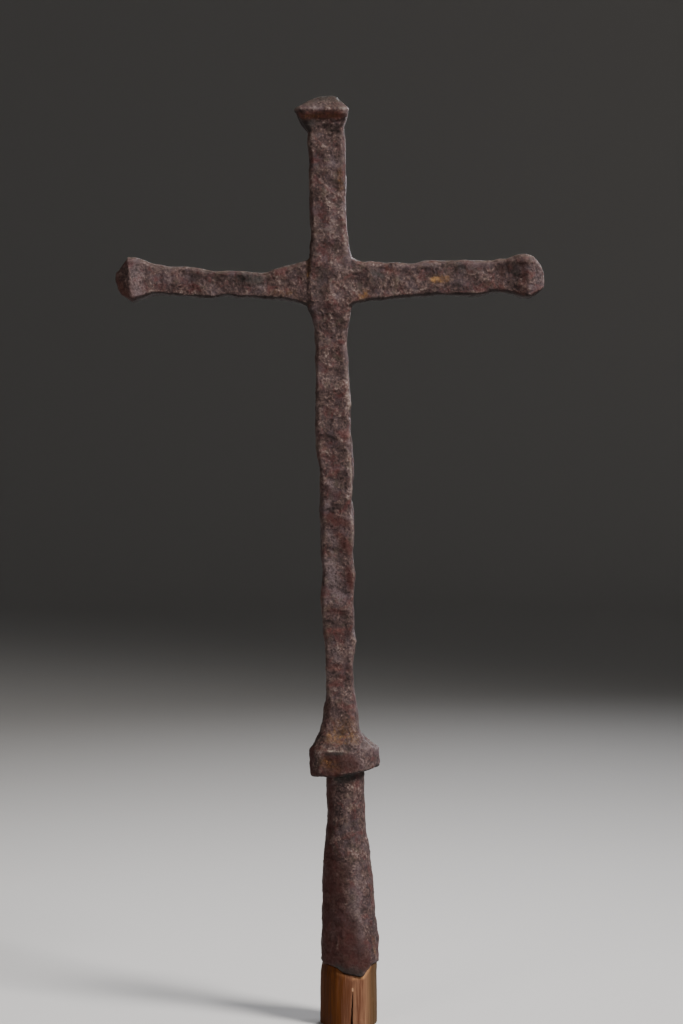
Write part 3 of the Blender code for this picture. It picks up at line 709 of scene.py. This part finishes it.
# the wood's patterns: width, stretch along the staff, detail and shift
woodPatterns = {
    "bands": (5.0 * mm, 0.05, 3.0, 0.21),
    "strands": (1.3 * mm, 0.05, 4.0, 0.45),  # real pores are 0.2 mm, drawn wider so that they show
    "smoke": (11.0 * mm, 0.30, 3.0, 0.70),
    "fine": (0.6 * mm, 0.04, 3.0, 0.90),
}

# what the wood's tone is made of, and the colours laid over it
woodTone = [
    # painted shade and light: darker towards the wood's left side, lighter towards its right
    ("side", -19 * mm, 13 * mm, 0.0, 0.66),
    ("bands", 0.3, 0.7, -0.13, 0.13),
    ("strands", 0.3, 0.7, -0.12, 0.12),
]
woodLayers = [
    ("side", 9 * mm, 16 * mm, 0.88, "bands", 0.35, 0.60, 0.72, "#38290e"),
    ("smoke", 0.5, 0.7, 0.40, None, 0, 0, 0, "#3e2a25"),
    ("rimRub", 0.0, 1.0, 1.00, "strands", 0.25, 0.55, 0.45, "#a07652"),
    ("woodSpecks", 0.0, 1.0, 1.00, None, 0, 0, 0, "#b8906f"),
    ("splitDepth", 0.0, 1.0, 1.00, None, 0, 0, 0, "#1a0f09"),
]


woodSheen = {
    "smoothest": 0.55,
    "roughest": 0.75,
    "specular": 0.12,
    "bumpStrength": 0.6,
    "bumpHeight": 0.35 * mm,
}


def fibreTree(sizes):
    tree, given = newGeometryTree("woodFibres", sizes)
    place = addNode(tree, "GeometryNodeInputPosition")
    normal = addNode(tree, "GeometryNodeInputNormal")
    bark = addNode(tree, "GeometryNodeInputNamedAttribute", {0: "outerWood"}, data_type="FLOAT")
    squeeze = addNode(tree, "ShaderNodeCombineXYZ", {0: 1.0, 1: 1.0, 2: given["stretch"]})
    drawn = addNode(tree, "ShaderNodeVectorMath", {0: place, 1: squeeze}, operation="MULTIPLY")
    rise = addNode(tree, "ShaderNodeMath", {0: given["sink"], 1: -1.0}, operation="MULTIPLY")
    for name in ("fibre", "strand"):
        often = addNode(tree, "ShaderNodeMath", {0: 1.0, 1: given[name + "Width"]}, operation="DIVIDE")
        ridge = addNode(tree, "ShaderNodeTexNoise", {"Vector": drawn, "Scale": often, "Detail": 3.0})
        ridge = addNode(tree, "ShaderNodeMath", {0: ridge, 1: 0.5}, operation="SUBTRACT")
        rise = addNode(
            tree, "ShaderNodeMath", {0: ridge, 1: given[name + "Depth"], 2: rise}, operation="MULTIPLY_ADD"
        )
    rise = addNode(tree, "ShaderNodeMath", {0: rise, 1: bark}, operation="MULTIPLY")
    offset = addNode(tree, "ShaderNodeVectorMath", {0: normal, "Scale": rise}, operation="SCALE")
    moved = addNode(tree, "GeometryNodeSetPosition", {"Geometry": given["Mesh"], "Offset": offset})
    plain = addNode(tree, "GeometryNodeRealizeInstances", {0: moved})
    dressed = addNode(tree, "GeometryNodeSetMaterial", {"Geometry": plain, "Material": given["finish"]})
    addNode(tree, "NodeGroupOutput", {0: dressed})
    return tree


def oldPoleFinish():
    # an ash or chestnut staff, bare, handled and smoked dark: long grain, a satin skin,
    # painted shade darker towards its left side and lighter to the right, olive brown on its right side, pale
    # and raw where the iron's lip rubs
    finish = bpy.data.materials.new("handledBareHardwood")
    finish.use_nodes = True
    tree = finish.node_tree
    shader = tree.nodes["Principled BSDF"]
    place = addNode(tree, "ShaderNodeTexCoord", out="Object")
    field = {"side": addNode(tree, "ShaderNodeSeparateXYZ", {0: place})}
    for name, (width, stretch, detail, shift) in woodPatterns.items():
        drawn = addNode(
            tree, "ShaderNodeMapping",
            {"Vector": place, "Location": (shift, 0.0, 0.0), "Scale": (1.0, 1.0, stretch)},
        )
        field[name] = addNode(
            tree, "ShaderNodeTexNoise",
            {"Vector": drawn, "Scale": 1 / width, "Detail": detail, "Roughness": 0.62, "Distortion": 0.25},
        )
    for name in ("splitDepth", *woodBlooms):
        field[name] = addNode(tree, "ShaderNodeAttribute", out="Fac", attribute_name=name)

    tone = sumPatterns(tree, field, woodTone)
    colour = addNode(tree, "ShaderNodeValToRGB", {0: tone})
    setRamp(colour.node.color_ramp, [
        (0.0, "#3c1b01"), (0.20, "#512a05"), (0.38, "#563422"), (0.58, "#6e4c38"), (0.9, "#89664c"),
    ])
    colour = layColours(tree, field, colour, woodLayers)
    rough = addNode(tree, "ShaderNodeMapRange", {
        0: field["strands"], 1: 0.3, 2: 0.7, 3: woodSheen["smoothest"], 4: woodSheen["roughest"],
    })
    bump = addNode(tree, "ShaderNodeBump", {
        "Strength": woodSheen["bumpStrength"], "Distance": woodSheen["bumpHeight"], "Height": field["fine"],
    })
    tree.links.new(colour, shader.inputs["Base Color"])
    tree.links.new(rough, shader.inputs["Roughness"])
    tree.links.new(bump, shader.inputs["Normal"])
    shader.inputs["Specular IOR Level"].default_value = woodSheen["specular"]
    return finish


def makeStub():
    piece = denseCopy("pole_stub", "poleStub", stub["voxel"], stub["softenRounds"])
    mesh = piece.data
    points, normals = readPoints(mesh)
    radius = np.linalg.norm(points[:, :2], axis=1)
    facing = (points[:, :2] * normals[:, :2]).sum(axis=1) / np.maximum(1e-6, radius)
    visible = (radius > stub["barkRadius"]) & (points[:, 2] < stub["barkTop"])
    outer = ramp01(facing, *stub["barkFacing"]) * ramp01(points[:, 2], *stub["footEdge"]) * visible
    writeMask(mesh, "outerWood", outer)
    points += normals * (fadeFromLines(points, woodHollows) * outer)[:, None]
    writePoints(mesh, points)
    addTree(piece, fibreTree(fibres), {**fibres, "finish": oldPoleFinish()})
    applyAll(piece)
    mesh = thinTo(piece, stub["triangles"])
    points, normals = readPoints(mesh)
    for name, lines in woodBlooms.items():
        writeMask(mesh, name, fadeFromLines(points, lines))

    # the drying crack runs on up from the one in the solid, and closes to a line
    height = points[:, 2]
    left = np.clip(1 - height / stub["crackTop"], 0, 1)
    middle = stub["crackX"] + stub["crackSlope"] * height
    middle += stub["crackWobble"] * np.sin(height * stub["crackWobbleTurn"])
    halfWidth = stub["crackHalfWidth"] * (stub["crackTipShare"] + (1 - stub["crackTipShare"]) * left)
    inside = halfWidth - np.abs(points[:, 0] - middle)
    slit = ramp01(inside, 0.0, stub["crackSoftEdge"]) * (left > 0)
    slit *= ramp01(-points[:, 1], *stub["crackFront"])
    points[:, 1] += slit * stub["crackDepth"] * np.sqrt(left)
    writeMask(mesh, "splitDepth", slit)
    points[:, 0] -= stub["pushLeft"] * ramp01(height, *stub["pushHeights"])
    writePoints(mesh, points)
    mesh.shade_smooth()
    print("wood: grown,", len(mesh.polygons), "faces")
    return piece


# the studio

studio = {
    "floorReach": 3.4,
    "curve": 1.2,
    "curveSteps": 12,
    "wallHeight": 3.4,
    "sides": 96,
    "floorColour": "#cbc9c6",
    "skyColour": "#e8e8ea",
    "skyStrength": 0.08,
}

# name, place, target, size, power, colour and spread in degrees
lamps = [
    ("keyLight", (1.45, -1.0, 2.0), (0, 0, 0.38), 0.8, 14.4, "#fdfaf8", 60),
    ("edgeLight", (1.6, 0.9, 1.1), (0, 0, 0.36), 0.5, 1.2, "#f0f4ff", 60),
    ("fillLight", (-1.5, -2.2, 1.0), (0, 0, 0.42), 1.2, 3.0, "#fff9f4", 70),
    # only for the views from behind
    ("backLight", (0.7, 2.4, 1.3), (0, 0, 0.38), 1.2, 7.0, "#f6f8ff", 60),
]


def makeFloor():
    # a round pale floor that curves up into a wall, so that no edge shows from any side
    profile = [(studio["floorReach"], 0.0)]
    for step in range(1, studio["curveSteps"] + 1):
        turn = math.pi / 2 * step / studio["curveSteps"]
        profile.append((
            studio["floorReach"] + studio["curve"] * math.sin(turn), studio["curve"] * (1 - math.cos(turn)),
        ))
    profile.append((studio["floorReach"] + studio["curve"], studio["wallHeight"]))
    turns = [2 * math.pi * i / studio["sides"] for i in range(studio["sides"])]
    shell = bmesh.new()
    rings = [
        [shell.verts.new((reach * math.cos(turn), reach * math.sin(turn), height)) for turn in turns]
        for reach, height in profile
    ]
    shell.faces.new(rings[0])
    for low, high in zip(rings, rings[1:]):
        for i in range(studio["sides"]):
            j = (i + 1) % studio["sides"]
            shell.faces.new((low[i], high[i], high[j], low[j]))
    bmesh.ops.recalc_face_normals(shell, faces=shell.faces)
    mesh = bpy.data.meshes.new("paleFloor")
    shell.to_mesh(mesh)
    shell.free()
    mesh.shade_smooth()
    # matt pale background paper, an even wash with no gloss
    paper = bpy.data.materials.new("mattPalePaper")
    paper.use_nodes = True
    shader = paper.node_tree.nodes["Principled BSDF"]
    shader.inputs["Base Color"].default_value = hexColour(studio["floorColour"])
    shader.inputs["Roughness"].default_value = 0.9
    mesh.materials.append(paper)
    floor = bpy.data.objects.new("paleFloor", mesh)
    scene.collection.objects.link(floor)


def makeLights():
    for name, place, target, size, power, colour, spread in lamps:
        lamp = bpy.data.lights.new(name, "AREA")
        lamp.shape = "DISK"
        lamp.size = size
        lamp.energy = power
        lamp.spread = math.radians(spread)
        lamp.color = hexColour(colour)[:3]
        holder = bpy.data.objects.new(name, lamp)
        holder.location = place
        holder.rotation_euler = (Vector(target) - Vector(place)).to_track_quat("-Z", "Y").to_euler()
        scene.collection.objects.link(holder)
    world = bpy.data.worlds.new("paleSky")
    world.use_nodes = True
    sky = world.node_tree.nodes["Background"]
    sky.inputs["Color"].default_value = hexColour(studio["skyColour"])
    sky.inputs["Strength"].default_value = studio["skyStrength"]
    scene.world = world


# the photo's view: 1.9 m away, just under the arms' height, tipped down by so many degrees

photoView = {
    "place": (-0.0055, -1.8963, 0.4376),
    "pitchDown": 2.838,
    "focalLength": 100.0,
    "sensorWidth": 36.0,
}


def makeCamera():
    lens = bpy.data.cameras.new("photoView")
    lens.lens = photoView["focalLength"]
    lens.sensor_width = photoView["sensorWidth"]
    camera = bpy.data.objects.new("photoView", lens)
    camera.location = photoView["place"]
    camera.rotation_euler = (math.radians(90 - photoView["pitchDown"]), 0.0, 0.0)
    scene.collection.objects.link(camera)
    scene.camera = camera


makeCamera()
ironForging = makeForging()
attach(ironForging, "root")
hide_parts("iron_cross")
poleStub = makeStub()
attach(poleStub, "root")
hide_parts("pole_stub")
makeFloor()
makeLights()
print("studio: floor, lights and camera set")
